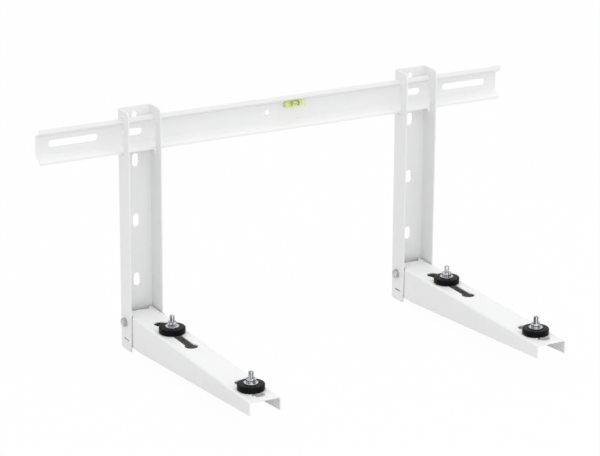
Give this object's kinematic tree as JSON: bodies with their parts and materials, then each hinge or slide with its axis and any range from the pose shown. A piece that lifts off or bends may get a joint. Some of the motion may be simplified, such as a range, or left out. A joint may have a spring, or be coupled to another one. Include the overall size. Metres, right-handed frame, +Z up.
{
  "type": "air conditioner outdoor unit bracket",
  "caption": "Wall bracket for an air conditioner's outdoor unit: slotted crossbar with a level, hung uprights, tapered arms and rubber feet on studs.",
  "frame": {"origin": "on the wall plane, midway between the centres of the crossbar's two long end slots", "axes": "+X along the crossbar, +Y into the wall (the arms point to -Y), +Z up"},
  "size_m": [0.8, 0.425, 0.38],
  "materials": {
    "white_steel": "satin",
    "zinc_steel": "zinc plated",
    "black_rubber": "matte",
    "level_clear": "clear",
    "level_fluid": "clear"
  },
  "bodies": {
    "rail": {"crossbar": "white_steel", "level_block": "level_clear", "level_plug": "level_clear", "level_liquid": "level_fluid"},
    "left_bracket": {"left_upright": "white_steel", "left_arm": "white_steel", "left_arm_bolt": "zinc_steel", "left_arm_washer": "zinc_steel", "left_arm_nut": "zinc_steel"},
    "left_rear_foot": {"left_rear_foot_rubber": "black_rubber", "left_rear_foot_bolt": "zinc_steel", "left_rear_foot_washer": "zinc_steel", "left_rear_foot_nut": "zinc_steel", "left_rear_foot_lower_washer": "zinc_steel"},
    "left_front_foot": {"left_front_foot_rubber": "black_rubber", "left_front_foot_bolt": "zinc_steel", "left_front_foot_washer": "zinc_steel", "left_front_foot_nut": "zinc_steel", "left_front_foot_lower_washer": "zinc_steel"},
    "right_bracket": {"right_upright": "white_steel", "right_arm": "white_steel", "right_arm_bolt": "zinc_steel", "right_arm_washer": "zinc_steel", "right_arm_nut": "zinc_steel"},
    "right_rear_foot": {"right_rear_foot_rubber": "black_rubber", "right_rear_foot_bolt": "zinc_steel", "right_rear_foot_washer": "zinc_steel", "right_rear_foot_nut": "zinc_steel", "right_rear_foot_lower_washer": "zinc_steel"},
    "right_front_foot": {"right_front_foot_rubber": "black_rubber", "right_front_foot_bolt": "zinc_steel", "right_front_foot_washer": "zinc_steel", "right_front_foot_nut": "zinc_steel", "right_front_foot_lower_washer": "zinc_steel"}
  },
  "joints": [
    {"name": "left_bracket_slide", "type": "slide", "parent": "rail", "child": "left_bracket", "axis": [1, 0, 0], "range_m": [-0.13, 0.13]},
    {"name": "left_rear_foot_slide", "type": "slide", "parent": "left_bracket", "child": "left_rear_foot", "axis": [0, 1, 0], "range_m": [-0.049, 0.024]},
    {"name": "left_front_foot_slide", "type": "slide", "parent": "left_bracket", "child": "left_front_foot", "axis": [0, 1, 0], "range_m": [-0.0045, 0.0138]},
    {"name": "right_bracket_slide", "type": "slide", "parent": "rail", "child": "right_bracket", "axis": [1, 0, 0], "range_m": [-0.13, 0.13]},
    {"name": "right_rear_foot_slide", "type": "slide", "parent": "right_bracket", "child": "right_rear_foot", "axis": [0, 1, 0], "range_m": [-0.049, 0.024]},
    {"name": "right_front_foot_slide", "type": "slide", "parent": "right_bracket", "child": "right_front_foot", "axis": [0, 1, 0], "range_m": [-0.0045, 0.0138]}
  ]
}
